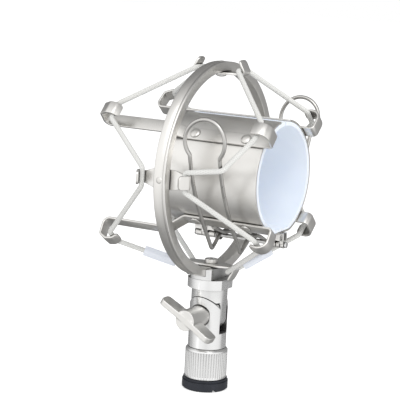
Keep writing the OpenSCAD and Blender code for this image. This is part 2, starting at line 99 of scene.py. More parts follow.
SHELL_R = 26.7
SHELL_T = 0.9
LINER_T = 2.0
FLOOR_Z = -24.8  # the sleeve's flat floor, from its axis

SHEET_T = 1.1  # sheet of the arms and brackets
STRIP_W = 6.3
STRIP_EDGE = 0.3  # rounding of a strip's long edges
TIP_R = 1.7  # rounding of the corners at a strip's end

ARM_MID = SHELL_R + TOUCH + SHEET_T / 2
UPPER = 44.5  # the arms' places above and below the sleeve's sides
LOWER = 50.5
UPPER_LIFT = 3  # how far the arms' rear ends stand off the sleeve
LOWER_LIFT = 7
RIVET_Y = (0, -26.2)

RING_IN = RING_R - 4.4
PLATE_W = 9.0  # bracket where it lies in the ring
NECK_W = 5.3  # bracket between its plate and its hooks
PLATE_OUT = math.sqrt(RING_IN**2 - (PLATE_W / 2) ** 2) - TOUCH
PLATE_MID = PLATE_OUT - SHEET_T / 2
RING_HOOK_Y = 14
RING_LEAN = math.radians(28)
RING_FLANGE = 7.2

HINGE_Z = CENTRE_Z - 30.9
PIN_R = 1.0
PIN_HEAD_R = 1.45
PIN_ENDS = (-38.3, 10.3)
KNUCKLE_R = 1.7
# middle along Y, width of a knuckle and slot between two
FRONT_HINGE = (-34.2, 2.1, 0.35)
REAR_HINGE = (4.2, 3.5, 0.1)
LEAF_T = 1.2
LEAF_X = 0.8  # near face of a hinge leaf, from the middle

WIRE_R = 0.9
CORD_R = 1.2
RING_SEAT = (RING_HOOK_Y - 3, PLATE_OUT + TOUCH + CORD_R)
FRONT_SEAT = (-35, ARM_MID + 7.9)
SEAT_SIDE = STRIP_W / 2 + 1.1


def arm_path(lift):
    """Distance along Y, distance from the sleeve axis and bend radius along an arm."""
    return [
        (-32.2, ARM_MID + 9.3, 0),
        (-40.7, ARM_MID + 11.2, 4.2),
        (-40.2, ARM_MID, 1.7),
        (5, ARM_MID, 3),
        (12.5, ARM_MID + lift, 3),
        (45.9, ARM_MID + lift, 2.9),
        (44.8, ARM_MID + lift + 8.5, 1),
        (41, ARM_MID + lift + 10.4, 1.5),
        (37.9, ARM_MID + lift + 9.9, 1.5),
        (35.7, ARM_MID + lift + 7.4, 0),
    ]


def rear_seat(lift):
    """Where the rear cord lies in an arm's rear hook."""
    return (38.7, ARM_MID + lift + 8)


# ---- placing ----


def hung(p):
    """A point of the hanging sleeve, turned with it about the sleeve axis."""
    c, s = math.cos(math.radians(ROLL)), math.sin(math.radians(ROLL))
    z = p[2] - CENTRE_Z
    return Vector((p[0] * c - z * s, p[1], CENTRE_Z + z * c + p[0] * s))


def plain(p):
    """A point of the ring, left where it is."""
    return Vector(p)


def hung_rings(rings):
    """Cross-sections of a part of the hanging sleeve."""
    return [[hung(p) for p in ring] for ring in rings]


def outward(angle):
    """Direction away from the sleeve axis at an angle round it."""
    a = math.radians(angle)
    return Vector((math.cos(a), 0, math.sin(a)))


def across(angle):
    """Direction round the sleeve axis at an angle."""
    a = math.radians(angle)
    return Vector((-math.sin(a), 0, math.cos(a)))


def round_axis(angle, y, rho, side=0):
    """A point at an angle round the sleeve axis."""
    return CENTRE + outward(angle) * rho + across(angle) * side + Y * y


# ---- meshes ----


class Shape:
    """Collects closed parts of one piece, in millimetres."""

    def __init__(self):
        self.points = []
        self.faces = []
        self.uvs = {}

    def add(self, points, faces, uv=None):
        """Takes in more points, with faces that count from the first of them."""
        first = len(self.points)
        self.points.extend(points)
        for i, f in enumerate(faces):
            if uv:
                self.uvs[len(self.faces)] = uv[i]
            self.faces.append([first + k for k in f])
        return self

    def skin(self, rings, closed=False, uv_scale=None):
        """Walls between rings of points, with caps on the ends unless they close on themselves."""
        n, m = len(rings), len(rings[0])
        points = [p for ring in rings for p in ring]
        faces, uv = [], []
        length = 0.0
        for i in range(n if closed else n - 1):
            j = (i + 1) % n
            step = (Vector(rings[j][0]) - Vector(rings[i][0])).length
            for k in range(m):
                after = (k + 1) % m
                faces.append([i * m + k, i * m + after, j * m + after, j * m + k])
                if uv_scale:
                    u0, u1 = k / m, (k + 1) / m
                    v0, v1 = length * uv_scale, (length + step) * uv_scale
                    uv.append([(u0, v0), (u1, v0), (u1, v1), (u0, v1)])
            length += step
        if not closed:
            faces.append(list(range(m))[::-1])
            faces.append(list(range((n - 1) * m, n * m)))
            if uv_scale:
                uv += [[(0, 0)] * m, [(0, 0)] * m]
        return self.add(points, faces, uv if uv_scale else None)


def make(name, shape, material, body=None, nodes=(), sharp=38, bevel=0, segments=3):
    """One named piece from a shape, smooth but for edges sharper than an angle."""
    mesh = bpy.data.meshes.new(name)
    mesh.from_pydata([Vector(p) * MM for p in shape.points], [], shape.faces)
    if shape.uvs:
        layer = mesh.uv_layers.new(name="UVMap")
        for poly in mesh.polygons:
            for k, loop in enumerate(poly.loop_indices):
                layer.data[loop].uv = shape.uvs[poly.index][k]
    ob = bpy.data.objects.new(name, mesh)
    bpy.context.scene.collection.objects.link(ob)
    finish_mesh(ob, sharp, bevel, segments)
    ob.data.materials.clear()
    ob.data.materials.append(material)
    if body:
        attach(ob, body)
    if nodes:
        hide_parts(*nodes)
    return ob


def finish_mesh(ob, sharp, bevel=0, segments=3):
    """Outward faces, rounded edges and smooth shading."""
    bm = bmesh.new()
    bm.from_mesh(ob.data)
    bmesh.ops.recalc_face_normals(bm, faces=bm.faces)
    if bevel:
        edges = [
            e for e in bm.edges if e.is_manifold and e.calc_face_angle(0) > math.radians(sharp)
        ]
        bmesh.ops.bevel(
            bm,
            geom=edges,
            offset=bevel * MM,
            offset_type="OFFSET",
            segments=segments,
            profile=0.5,
            affect="EDGES",
            clamp_overlap=True,
        )
    for f in bm.faces:
        f.smooth = True
    for e in bm.edges:
        e.smooth = not e.is_manifold or e.calc_face_angle(0) < math.radians(sharp)
    bm.to_mesh(ob.data)
    bm.free()
    if bevel:
        apply(ob, ob.modifiers.new("normals", "WEIGHTED_NORMAL"), keep_sharp=True)


def apply(ob, modifier, **settings):
    """Applies one modifier to the object's mesh."""
    for key, value in settings.items():
        setattr(modifier, key, value)
    bpy.context.view_layer.update()
    graph = bpy.context.evaluated_depsgraph_get()
    mesh = bpy.data.meshes.new_from_object(ob.evaluated_get(graph))
    ob.modifiers.clear()
    ob.data = mesh


def refined(node, name, material, body, bevel=0.0):
    """A machined part: the CAD solid's own surface with its edges rounded."""
    mesh = frame["nodes"][node].data.copy()
    mesh.name = name
    ob = bpy.data.objects.new(name, mesh)
    bpy.context.scene.collection.objects.link(ob)
    bm = bmesh.new()
    bm.from_mesh(mesh)
    bmesh.ops.remove_doubles(bm, verts=bm.verts, dist=0.00001)
    bmesh.ops.dissolve_limit(
        bm, angle_limit=math.radians(0.8), verts=bm.verts, edges=bm.edges, delimit={"NORMAL"}
    )
    bm.to_mesh(mesh)
    bm.free()
    finish_mesh(ob, 30, bevel)
    ob.data.materials.clear()
    ob.data.materials.append(material)
    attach(ob, body)
    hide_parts(node)
    return ob


# ---- outlines ----


def arc(x, y, r, start, end, steps):
    """Points of a circle's arc, with angles in degrees."""
    angles = [math.radians(start + (end - start) * i / steps) for i in range(steps + 1)]
    return [(x + r * math.cos(a), y + r * math.sin(a)) for a in angles]


def rounded_box(half_w, half_t, r):
    """Outline of a rounded rectangle about the origin."""
    out = []
    for x, y, start in ((1, 1, 0), (-1, 1, 90), (-1, -1, 180), (1, -1, 270)):
        out += arc(x * (half_w - r), y * (half_t - r), r, start, start + 90, 3)
    return out


def circle(r, n):
    """Outline of a circle about the origin."""
    angles = [2 * math.pi * k / n for k in range(n)]
    return [(r * math.cos(a), r * math.sin(a)) for a in angles]


def bent_path(pts):
    """Samples [distance along Y, distance from the axis] of a strip with rounded bends."""
    spacing = 1.5
    flat = [Vector((p[0], p[1])) for p in pts]
    out = [flat[0]]
    for a, b, c, r in zip(flat, flat[1:], flat[2:], [p[2] for p in pts[1:-1]]):
        d1, d2 = (b - a).normalized(), (c - b).normalized()
        turn = math.atan2(d1.x * d2.y - d1.y * d2.x, d1.dot(d2))
        normal = Vector((-d1.y, d1.x)) * math.copysign(1, turn)
        mid = b - d1 * (r * math.tan(abs(turn) / 2)) + normal * r
        steps = max(3, math.ceil(abs(turn) / math.radians(7)))
        for i in range(steps + 1):
            t = turn * i / steps
            spoke = Vector(
                (
                    -normal.x * math.cos(t) + normal.y * math.sin(t),
                    -normal.x * math.sin(t) - normal.y * math.cos(t),
                )
            )
            out.append(mid + spoke * r)
    out.append(flat[-1])
    filled = [out[0]]
    for p, q in zip(out, out[1:]):
        n = max(1, math.ceil((q - p).length / spacing))
        filled += [p.lerp(q, (i + 1) / n) for i in range(n)]
    return filled


def end_samples(path):
    """Adds close samples near both ends of a path, where the tip is rounded."""
    for _ in range(2):
        a, b = path[0], path[1]
        length = (b - a).length
        near = [a + (b - a).normalized() * TIP_R * f for f in (0.02, 0.08, 0.18, 0.32, 0.55, 1)]
        path = [a] + [p for p in near if (p - a).length < length * 0.98] + path[1:]
        path.reverse()
    return path


def strip_rings(path, angle, half_width, place):
    """Rounded cross-sections of a flat strip that runs along the sleeve axis."""
    path = end_samples(path)
    lengths = [0.0]
    for p, q in zip(path, path[1:]):
        lengths.append(lengths[-1] + (q - p).length)
    rings = []
    for i, p in enumerate(path):
        t = (path[min(i + 1, len(path) - 1)] - path[max(i - 1, 0)]).normalized()
        n = Vector((-t.y, t.x))
        near = min(lengths[i], lengths[-1] - lengths[i])
        w = half_width(p)
        if near < TIP_R:
            w -= TIP_R - math.sqrt(max(0, TIP_R**2 - (TIP_R - near) ** 2))
        ring = []
        for u, v in rounded_box(w, SHEET_T / 2, STRIP_EDGE):
            q = p + n * v
            ring.append(place(round_axis(angle, q.x, q.y, u)))
        rings.append(ring)
    return rings


def soften(pts, cut, steps):
    """Rounds the inner corners of a path of 3-D points."""
    pts = [Vector(p) for p in pts]
    out = [pts[0]]
    for a, b, c in zip(pts, pts[1:], pts[2:]):
        p = b + (a - b).normalized() * min(cut, (a - b).length * 0.45)
        q = b + (c - b).normalized() * min(cut, (c - b).length * 0.45)
        for k in range(steps + 1):
            s = k / steps
            out.append(p * (1 - s) ** 2 + b * 2 * s * (1 - s) + q * s**2)
    return out + [pts[-1]]


def spaced(pts, step):
    """Even samples along a path."""
    out, carry = [pts[0]], 0.0
    for a, b in zip(pts, pts[1:]):
        length = (b - a).length
        s = step - carry
        while s < length:
            out.append(a.lerp(b, s / length))
            s += step
        carry = length - (s - step)
    if (out[-1] - pts[-1]).length < step * 0.4:
        out.pop()
    return out + [pts[-1]]


def tube_rings(pts, r, sides):
    """Cross-sections of a round wire along a path; the ends are domed."""
    rings = []
    ref = Y
    for i, p in enumerate(pts):
        t = (pts[min(i + 1, len(pts) - 1)] - pts[max(i - 1, 0)]).normalized()
        ref = (ref - t * ref.dot(t)).normalized()
        other = t.cross(ref)
        rings.append([p + ref * u + other * v for u, v in circle(r, sides)])
    return domed(rings, pts[0], pts[1], r)[::-1] + rings + domed(rings[::-1], pts[-1], pts[-2], r)


def domed(rings, end, inner, r):
    """Cross-sections that round off the end where the rings start, from the rings outwards."""
    t = (end - inner).normalized()
    out = []
    for a in (20, 42, 62, 80):
        c, s = math.cos(math.radians(a)), math.sin(math.radians(a))
        out.append([end + (v - end) * c + t * r * s * 0.8 for v in rings[0]])
    return out


def turned(profile, axis_point, axis, ref, sides=48):
    """Rings of a turned part: profile is (distance along the axis, radius)."""
    axis, ref = Vector(axis).normalized(), Vector(ref)
    ref = (ref - axis * ref.dot(axis)).normalized()
    other = axis.cross(ref)
    return [
        [Vector(axis_point) + axis * d + ref * u + other * v for u, v in circle(r, sides)]
        for d, r in profile
    ]


def rivet_head(base, top, r, low=0.25):
    """Profile of a rivet head from base to top; low is the height of its straight rim."""
    rise = top - base - low
    out = [(base, r * 0.94), (base + low * 0.5, r), (base + low, r)]
    for a in range(15, 90, 15):
        c, s = math.cos(math.radians(a)), math.sin(math.radians(a))
        out.append((base + low + rise * s, r * c))
    return out + [(top, r * 0.05)]


# ---- materials ----


class Nodes:
    """Short calls for building the node tree of a material or a world."""

    def __init__(self, owner):
        owner.use_nodes = True
        self.tree = owner.node_tree

    def new(self, kind, **settings):
        n = self.tree.nodes.new(kind)
        for k, v in settings.items():
            setattr(n, k, v)
        return n

    def link(self, a, b):
        self.tree.links.new(a, b)

    def noise(self, scale, detail=3, stretch=(1, 1, 1)):
        coordinates = self.new("ShaderNodeTexCoord")
        mapping = self.new("ShaderNodeMapping")
        mapping.inputs["Scale"].default_value = stretch
        self.link(coordinates.outputs["Object"], mapping.inputs["Vector"])
        n = self.new("ShaderNodeTexNoise")
        n.inputs["Scale"].default_value = scale
        n.inputs["Detail"].default_value = detail
        n.inputs["Roughness"].default_value = 0.55
        self.link(mapping.outputs["Vector"], n.inputs["Vector"])
        return n.outputs["Fac"]

    def spread(self, source, low, high, from_low=0.3, from_high=0.7, ease="LINEAR"):
        """Maps one range onto another and holds the ends."""
        n = self.new("ShaderNodeMapRange", interpolation_type=ease)
        n.inputs["From Min"].default_value = from_low
        n.inputs["From Max"].default_value = from_high
        n.inputs["To Min"].default_value = low
        n.inputs["To Max"].default_value = high
        self.link(source, n.inputs["Value"])
        return n.outputs["Result"]

    def maths(self, operation, a, b=0.0):
        n = self.new("ShaderNodeMath", operation=operation)
        for socket, v in zip(n.inputs, (a, b)):
            if isinstance(v, (int, float)):
                socket.default_value = v
            else:
                self.link(v, socket)
        return n.outputs[0]

    def mix(self, factor, a, b):
        n = self.new("ShaderNodeMix", data_type="RGBA")
        self.link(factor, n.inputs["Factor"])
        for socket, v in ((n.inputs[6], a), (n.inputs[7], b)):
            if isinstance(v, tuple):
                socket.default_value = (*v, 1)
            else:
                self.link(v, socket)
        return n.outputs[2]


class Finish(Nodes):
    """A material on the Principled shader."""

    def __init__(self, name):
        self.mat = bpy.data.materials.new(name)
        super().__init__(self.mat)
        self.shader = self.tree.nodes["Principled BSDF"]

    def set(self, name, v):
        """Gives a shader input a value or links a node to it."""
        if isinstance(v, (int, float, tuple)):
            self.shader.inputs[name].default_value = v
        else:
            self.link(v, self.shader.inputs[name])

    def bump(self, height, strength, distance):
        n = self.new("ShaderNodeBump")
        n.inputs["Strength"].default_value = strength
        n.inputs["Distance"].default_value = distance
        self.link(height, n.inputs["Height"])
        self.set("Normal", n.outputs["Normal"])

    def edges(self):
        """Bright where the surface is convex: a mask for edge wear and for a painted highlight along
        edges.
        """
        g = self.new("ShaderNodeNewGeometry")
        return self.spread(g.outputs["Pointiness"], 0, 1, 0.505, 0.58)

    def grazing(self, most, start):
        """0 face on, rising to `most` where the surface turns away from the view."""
        layer = self.new("ShaderNodeLayerWeight")
        layer.inputs["Blend"].default_value = 0.35
        return self.spread(layer.outputs["Facing"], 0, most, start, 0.95)

    def crevices(self, reach):
        """Rises to 1 where other surfaces stand close: a mask for painted shade in joints and
        recesses.
        """
        n = self.new("ShaderNodeAmbientOcclusion", samples=8)
        n.inputs["Distance"].default_value = reach
        return self.spread(n.outputs["AO"], 1, 0, 0.25, 0.8)


def metal(name, tone, worn_and_highlight, rough, streak, grain=0.5, rim=0.3):
    """Satin plated metal: fine blasted grain, faint streaks, bright edges from wear and a painted
    highlight, a painted dark rim where the surface turns from the view, painted shade darkening
    joints and recesses.
    """
    # painted colours: a dark rim where the surface turns from the view, shade in recesses, shade in
    # narrow joints
    outline, shade, painted_joint_shade = (0.13, 0.125, 0.12), (0.16, 0.155, 0.15), (0.07, 0.065, 0.06)
    n = Finish(name)
    n.set("Metallic", 1.0)
    cloud = n.noise(60)
    streaks = n.noise(350, 3, streak)
    fine = n.noise(5200, 2)
    base = n.mix(n.spread(cloud, 0, 1), tuple(c * 0.94 for c in tone), tone)
    # convex edges: real wear, brightened further as a painted highlight
    base = n.mix(n.maths("MULTIPLY", n.edges(), 0.85), base, worn_and_highlight)
    # painted shade: darker where the surface turns from the view
    base = n.mix(n.grazing(rim, 0.45), base, outline)
    # painted shade: darker within 6 mm of other surfaces, in recesses
    base = n.mix(n.maths("MULTIPLY", n.crevices(0.006), 0.7), base, shade)
    # painted contact shadow: darker within 0.8 mm of other surfaces, in narrow joints
    base = n.mix(n.maths("MULTIPLY", n.crevices(0.0008), 0.9), base, painted_joint_shade)
    n.set("Base Color", base)
    mixed = n.maths("ADD", n.spread(cloud, -0.03, 0.03), n.spread(streaks, -0.05, 0.05))
    n.set("Roughness", n.maths("ADD", mixed, rough))
    n.bump(n.maths("ADD", fine, n.maths("MULTIPLY", streaks, 0.6)), grain, 0.000004)
    return n.mat


def plastic(name):
    """Moulded black plastic with a slight blue cast and a fine texture."""
    n = Finish(name)
    cloud = n.noise(180, 4)
    base = n.mix(n.spread(cloud, 0, 1), (0.010, 0.012, 0.018), (0.018, 0.021, 0.030))
    # paler on convex edges: a painted highlight along them
    base = n.mix(n.maths("MULTIPLY", n.edges(), 0.5), base, (0.07, 0.075, 0.09))
    n.set("Base Color", base)
    n.set("Roughness", n.spread(cloud, 0.33, 0.47))
    n.set("Specular IOR Level", 0.35)
    n.bump(n.noise(4200, 2), 0.4, 0.00002)
    return n.mat


def lining(name):
    """Soft pale liner: smooth foam skin with faint pores."""
    n = Finish(name)
    pores = n.noise(1900)
    base = n.mix(n.spread(n.noise(45), 0, 1), (0.80, 0.86, 0.955), (0.85, 0.90, 0.975))
    # paler on convex edges: a painted highlight along them
    base = n.mix(n.maths("MULTIPLY", n.edges(), 0.5), base, (0.90, 0.93, 0.98))
    n.set("Base Color", base)
    n.set("Roughness", n.spread(pores, 0.55, 0.72))
    n.set("Subsurface Weight", 0.12)
    n.set("Subsurface Radius", (0.0012, 0.0014, 0.002))
    n.set("Sheen Weight", 0.25)
    n.bump(pores, 0.25, 0.00008)
    return n.mat


def woven(name):
    """Braided elastic sleeve: two sets of yarns crossing round the cord, faintly soiled, with
    painted shade where the surface turns from the view.
    """
    n = Finish(name)
    coordinates = n.new("ShaderNodeTexCoord")
    split = n.new("ShaderNodeSeparateXYZ")
    n.link(coordinates.outputs["UV"], split.inputs["Vector"])
    turn = n.maths("MULTIPLY", split.outputs["X"], 8 * 2 * math.pi)
    run = n.maths("MULTIPLY", split.outputs["Y"], 2 * math.pi)
    left_yarn = n.maths("SINE", n.maths("ADD", turn, run))
    right_yarn = n.maths("SINE", n.maths("SUBTRACT", turn, run))
    weave = n.maths("MAXIMUM", left_yarn, right_yarn)
    base = n.mix(n.spread(weave, 0, 1, -0.6, 0.9), (0.66, 0.66, 0.635), (0.80, 0.80, 0.78))
    base = n.mix(n.spread(n.noise(90), 0, 0.22), base, (0.58, 0.575, 0.54))
    # painted shade: darker where the cord turns from the view
    base = n.mix(n.grazing(0.75, 0.25), base, (0.30, 0.30, 0.285))
    n.set("Base Color", base)
    n.set("Roughness", 0.82)
    n.set("Sheen Weight", 0.35)
    n.bump(n.maths("ADD", weave, n.maths("MULTIPLY", n.noise(3500), 0.7)), 0.35, 0.00008)
    return n.mat


def label(name):
    """Blank woven fabric tag with a faint cross weave."""
    n = Finish(name)
    rows = n.noise(900, 2, (1, 1, 6))
    n.set("Base Color", n.mix(n.spread(rows, 0, 1), (0.80, 0.84, 0.93), (0.90, 0.93, 0.99)))
    n.set("Roughness", 0.6)
    n.set("Sheen Weight", 0.3)
    n.bump(n.maths("ADD", rows, n.noise(2600, 2)), 0.3, 0.00005)
    return n.mat


# edge colour: real wear, brightened further as a painted highlight
WORN_AND_HIGHLIGHT = (0.92, 0.91, 0.89)
EVEN = (1, 1, 1)

nickel = metal("satin_nickel_finish", (0.74, 0.725, 0.695), WORN_AND_HIGHLIGHT, 0.33, (1, 14, 1))
shell_metal = metal("shell_finish", (0.79, 0.775, 0.745), WORN_AND_HIGHLIGHT, 0.36, (1, 22, 1), grain=0.4)
chrome = metal(
    "satin_chrome_finish", (0.77, 0.77, 0.765), (0.97, 0.97, 0.97), 0.30, (1, 1, 10), grain=0.3
)
cast = metal("cast_nickel_finish", (0.78, 0.77, 0.745), (0.93, 0.92, 0.9), 0.38, EVEN, grain=0.9)
# the wire has a strong painted dark rim where it turns from the view
wire = metal(
    "drawn_wire_finish", (0.56, 0.55, 0.53), (0.64, 0.63, 0.61), 0.32, EVEN, grain=0.05, rim=0.9
)
steel = metal(
    "spring_steel_finish", (0.42, 0.41, 0.40), (0.62, 0.61, 0.6), 0.34, EVEN, grain=0.6
)
black = plastic("adapter_plastic_finish")
foam = lining("liner_finish")
braid = woven("cord_braid")
fabric = label("tag_fabric")

# ---- stand fitting ----

refined("thread_adapter", "adapter", black, "stand_nut", bevel=0.22)
refined("nut_retaining_ring", "snap_ring", steel, "swivel", bevel=0.1)
refined("swivel_base", "base_fork", chrome, "swivel", bevel=0.45)
refined("swivel_head", "head_block", chrome, "ring_head", bevel=0.3)
refined("swivel_washers", "pivot_washers", steel, "swivel", bevel=0.08)


def nut():
    """Sleeve nut: a fluted skin outside, a plain stepped bore inside."""
    flutes, flute_depth = 48, 0.34
    sides = flutes * 10
    lo, hi = NUT_LO.z, NUT_HI.z
    spigot_r, thread_r, step = 7.05, 7.94, hi - 3.2
    # height, inset from the nut's radius, share of the flute's depth
    skin = [
        (lo, 0.30, 0), (lo + 0.1, 0.12, 0), (lo + 0.3, 0, 0), (lo + 1.0, 0, 0),
        (lo + 1.3, 0, 0.6), (lo + 1.6, 0, 1), (hi - 2.2, 0, 1), (hi - 1.9, 0, 0.6),
        (hi - 1.6, 0, 0), (hi - 1.1, 0.02, 0), (hi - 0.7, 0.3, 0), (hi - 0.25, 0.75, 0),
        (hi - 0.05, 0.92, 0), (hi, 1.1, 0),
    ]
    bore = [
        (hi, spigot_r + 0.25), (hi - 0.2, spigot_r + 0.05), (step, spigot_r),
        (step, thread_r), (lo + 0.3, thread_r), (lo, thread_r + 0.26),
    ]
    turn = 2 * math.pi / sides
    waves = [max(0.0, math.cos(i * turn * flutes)) ** 0.7 for i in range(sides)]
    rings = []
    for z, inset, share in skin:
        radii = [NUT_R - inset - flute_depth * share * wave for wave in waves]
        rings.append([
            Vector((r * math.cos(i * turn), r * math.sin(i * turn), z)) for i, r in enumerate(radii)
        ])
    for z, r in bore:
        rings.append([Vector((x, y, z)) for x, y in circle(r, sides)])
    shape = Shape().skin(rings, closed=True)
    make("sleeve_nut", shape, chrome, "stand_nut", ["knurled_nut"], sharp=50)


nut()


def wing_screw():
    """Cast wing screw: one soft solid made from the CAD solid, with rounded edges."""
    ob = refined("wing_screw", "wing_screw_cast", cast, "clamp_screw")
    body = ob.parent
    ob.parent = None
    material = ob.data.materials[0]
    apply(ob, ob.modifiers.new("remesh", "REMESH"), mode="VOXEL", voxel_size=0.0002)
    apply(ob, ob.modifiers.new("smooth", "SMOOTH"), factor=0.5, iterations=2)
    apply(ob, ob.modifiers.new("decimate", "DECIMATE"), ratio=0.35)
    ob.data.materials.clear()
    ob.data.materials.append(material)
    for p in ob.data.polygons:
        p.use_smooth = True
    ob.parent = body


wing_screw()

# ---- ring ----


def ring():
    """Ring with rounded corners and a fine turned line near its front edge."""
    w, corner, line_depth = RING_HALF_W, 0.5, 0.14
    outer, inner = RING_R - corner, RING_IN + corner
    profile = arc(outer, corner - w, corner, 270, 360, 4)
    profile += [(RING_R, 1.15 - w), (RING_R - line_depth, 1.3 - w)]
    profile += [(RING_R - line_depth, 1.45 - w), (RING_R, 1.6 - w)]
    profile += arc(outer, w - corner, corner, 0, 90, 4)
    profile += arc(inner, w - corner, corner, 90, 180, 4)
    profile += arc(inner, corner - w, corner, 180, 270, 4)
    rings = []
    for i in range(240):
        d = outward(360 * i / 240)
        rings.append([CENTRE + d * r + Y * y for r, y in profile])
    shape = Shape().skin(rings, closed=True)
    make("hoop", shape, nickel, "ring_head", ["outer_ring"], sharp=50)


ring()


def ring_fixings():
    """Rivets of three brackets, with round heads inside the ring and low ones outside; the screw."""
    plate, outside, shank_r = PLATE_MID - SHEET_T / 2, RING_R - 0.2, 1.4
    shape = Shape()
    for a in (0, 90, 180):
        d = outward(a)
        shape.skin(turned(rivet_head(-plate, -plate + 1.4, 2.6), CENTRE, -d, Y))
        shape.skin(turned(rivet_head(outside, outside + 0.5, 1.5, 0.1), CENTRE, d, Y))
        shape.skin(turned([(plate, shank_r), (outside, shank_r)], CENTRE, d, Y, 24))
    make("ring_rivet_set", shape, nickel, "ring_head", ["ring_rivets"])
    refined("ring_screw", "collar_screw", nickel, "ring_head", bevel=0.15)


ring_fixings()


def ring_half_width(p):
    """Half the width of a bracket: wide in the ring, a neck, then the strip of the hook."""
    if p.y > PLATE_MID + 1.2:
        return STRIP_W / 2
    taper = min(1, max(0, (abs(p.x) - 4.5) / 7))
    taper = taper * taper * (3 - 2 * taper)
    flare = min(1, max(0, (abs(p.x) - 12) / 1.5))
    return (PLATE_W + (NECK_W - PLATE_W) * taper + (STRIP_W - NECK_W) * flare) / 2


def ring_bracket(name, angle):
    """Double-ended sheet hook that lies in the ring and leans out beyond both its edges."""
    tip_y = RING_HOOK_Y - RING_FLANGE * math.sin(RING_LEAN)
    tip_r = PLATE_MID + RING_FLANGE * math.cos(RING_LEAN)
    corners = [
        (-tip_y, tip_r, 0),
        (-RING_HOOK_Y, PLATE_MID, 1.4),
        (RING_HOOK_Y, PLATE_MID, 1.4),
        (tip_y, tip_r, 0),
    ]
    shape = Shape().skin(strip_rings(bent_path(corners), angle, ring_half_width, plain))
    make(name + "_strap", shape, nickel, "ring_head", [name])


ring_bracket("bracket_top", 90)
ring_bracket("bracket_left", 180)
ring_bracket("bracket_right", 0)
ring_bracket("bracket_bottom", 270)

# ---- sleeve halves ----


def wall_outline(r_out, r_in, top, floor_out, floor_in, half_out, half_in):
    """Cross-section [x, z] of the left half of a wall with a flat floor, split at the middle.

    It starts at the angle `top` and meets the floor at half the floor's width.
    """
    gap, bend, steps = 0.1, 1.2, 64
    low_out = 270 - math.degrees(math.asin(half_out / r_out))
    low_in = 270 - math.degrees(math.asin(half_in / r_in))
    out = arc(0, 0, r_out, top, low_out, steps)
    out += [(-half_out + bend, floor_out), (-gap, floor_out)]
    out += [(-gap, floor_in), (-half_in + bend, floor_in)]
    return out + arc(0, 0, r_in, low_in, top, steps)


def half_wall(outline, side):
    """One half of a wall, from the mouth of the sleeve to its rear."""
    return Shape().skin([
        [hung((-side * x, y, CENTRE_Z + z)) for x, z in outline] for y in (MOUTH_Y, REAR_Y)
    ])


def box_along_y(x0, x1, z0, z1, y0, y1):
    """Cross-sections of a box of the hanging sleeve."""
    corners = [(x0, z0), (x1, z0), (x1, z1), (x0, z1)]
    return [[hung((x, y, z)) for x, z in corners] for y in (y0, y1)]


def knuckles(shape, side, places, hinge):
    """Hinge barrels of one half with their leaves; places counts widths from the middle."""
    middle, width, slot = hinge
    near = LEAF_X if side > 0 else -LEAF_X - LEAF_T
    far = near + LEAF_T
    top = CENTRE_Z + FLOOR_Z - SHELL_T / 2
    bore, edge = PIN_R + 0.04, 0.2
    for k in places:
        y0 = middle + (k - 0.5) * width + slot / 2
        y1 = middle + (k + 0.5) * width - slot / 2
        profile = [
            (y0, bore), (y0, KNUCKLE_R - edge), (y0 + edge, KNUCKLE_R),
            (y1 - edge, KNUCKLE_R), (y1, KNUCKLE_R - edge), (y1, bore),
        ]
        rings = turned(profile, (0, 0, HINGE_Z), Y, (0, 0, 1), 32)
        shape.skin(hung_rings(rings), closed=True)
        shape.skin(box_along_y(near, far, HINGE_Z + 0.6, top, y0, y1))
    low, reach = HINGE_Z + KNUCKLE_R + 0.2, 1.5 * width
    shape.skin(box_along_y(near, far, low, top, middle - reach, middle + reach))


def shell(side, word):
    """Sheet half shell; at each hinge one half has one knuckle, between the other's two."""
    one, two = [0], [-1, 1]
    front, rear = (two, one) if side < 0 else (one, two)
    r_in = SHELL_R - SHELL_T
    outline = wall_outline(SHELL_R, r_in, 99, FLOOR_Z - SHELL_T, FLOOR_Z, 8.0, 7.7)
    shape = half_wall(outline, side)
    knuckles(shape, side, front, FRONT_HINGE)
    knuckles(shape, side, rear, REAR_HINGE)
    name = "shell_" + word
    body = "sleeve_" + word
    make("shell_wall_" + word, shape, shell_metal, body, [name], 30, 0.18)


def liner(side, word):
    """Soft pad that lines one half shell."""
    r_out = SHELL_R - SHELL_T
    outline = wall_outline(
        r_out - TOUCH, r_out - LINER_T, 91, FLOOR_Z + TOUCH, FLOOR_Z + 1, 7.2, 7.2
    )
    shape = half_wall(outline, side)
    body = "sleeve_" + word
    make("liner_pad_" + word, shape, foam, body, ["liner_" + word], 30, 0.3, 4)


def arms(side, word):
    """The long hooked strips of one half and the heads of their rivets."""
    body = "sleeve_" + word
    rivets = Shape()
    for level, angle, lift in (("upper", UPPER, UPPER_LIFT), ("lower", -LOWER, LOWER_LIFT)):
        angle = angle if side > 0 else 180 - angle
        rings = strip_rings(bent_path(arm_path(lift)), angle, lambda p: STRIP_W / 2, hung)
        name = f"arm_{level}_{word}"
        make(name + "_strip", Shape().skin(rings), nickel, body, [name])
        top = ARM_MID + SHEET_T / 2
        for y in RIVET_Y:
            head = turned(rivet_head(top, top + 1.1, 2.4), CENTRE + Y * y, outward(angle), Y)
            rivets.skin(hung_rings(head))
    name = "arm_rivets_" + word
    make(name + "_heads", rivets, nickel, body, [name])


for side, word in ((-1, "left"), (1, "right")):
    shell(side, word)
    liner(side, word)
    arms(side, word)

# ---- hinge ----


